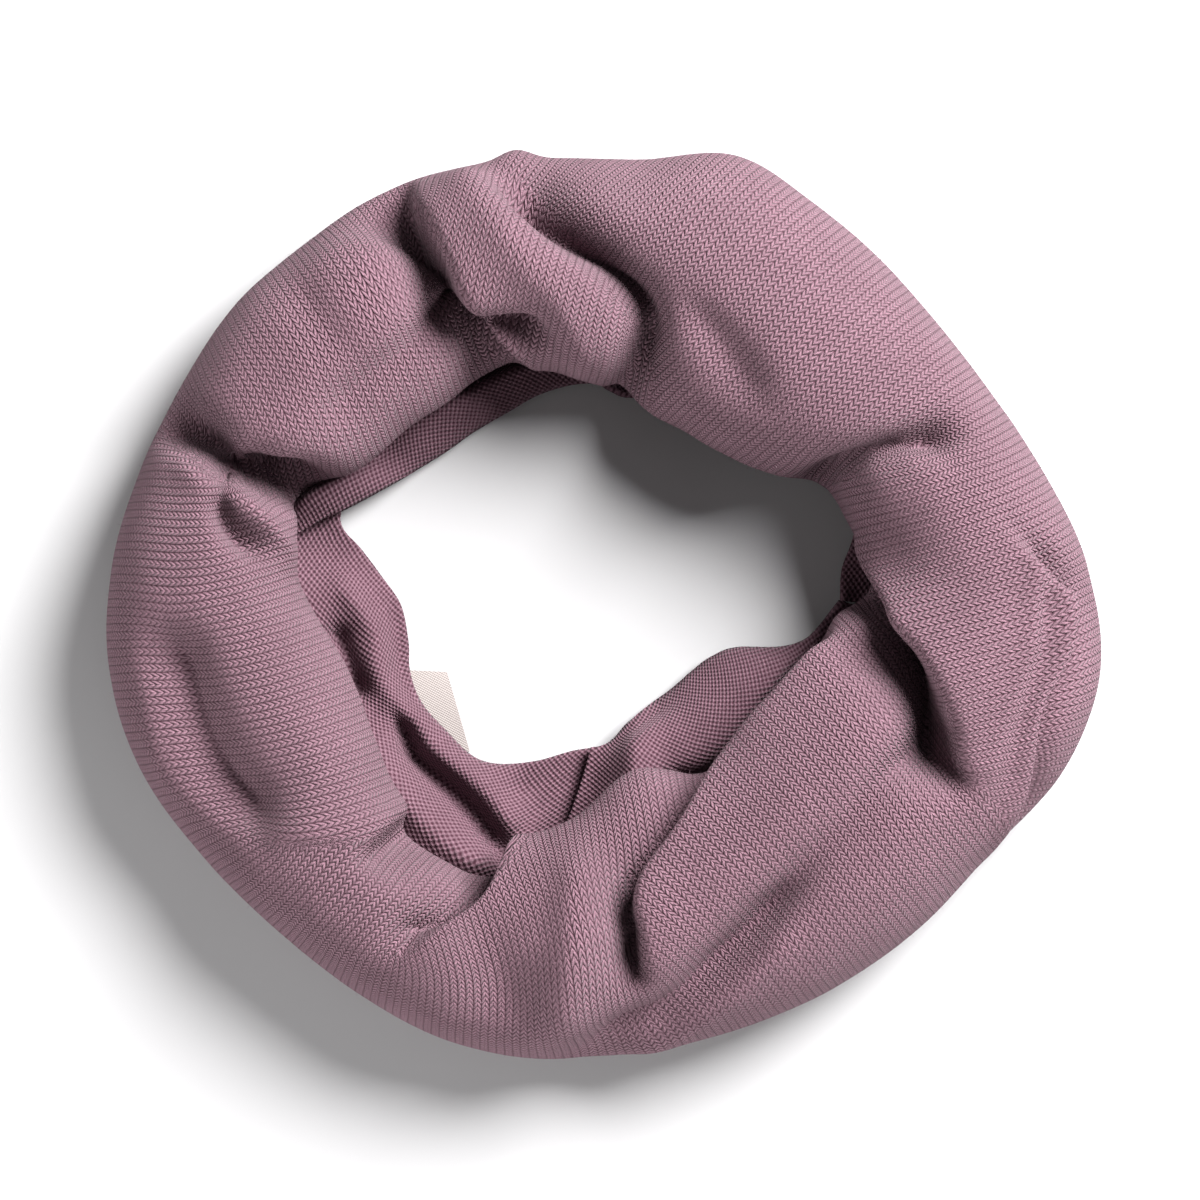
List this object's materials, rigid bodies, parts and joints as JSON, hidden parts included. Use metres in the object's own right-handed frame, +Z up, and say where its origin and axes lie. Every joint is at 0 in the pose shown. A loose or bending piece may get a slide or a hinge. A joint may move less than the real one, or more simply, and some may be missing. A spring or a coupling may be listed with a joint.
{
  "type": "infinity scarf",
  "caption": "Knitted jersey tube scarf dropped on a table as a soft round ring, knit face outside and purl side showing as a lip inside the ring.",
  "frame": {"origin": "on the surface it lies on, under the middle of the scarf's box", "axes": "+Z up from the surface; +X to the right and +Y to the top as seen from above, with the label at the left of the hole; the ring is longest along X"},
  "size_m": [0.2249, 0.2049, 0.0475],
  "materials": {
    "knit_face": "matt jersey, knit side",
    "purl_face": "matt jersey, purl side",
    "label_weave": "smooth woven tape"
  },
  "bodies": {
    "root": {"rolled_stretch": "knit_face", "upper_lip": "purl_face", "left_lip": "purl_face", "lower_lip": "purl_face", "hidden_layers": "purl_face", "label": "label_weave"}
  },
  "joints": []
}
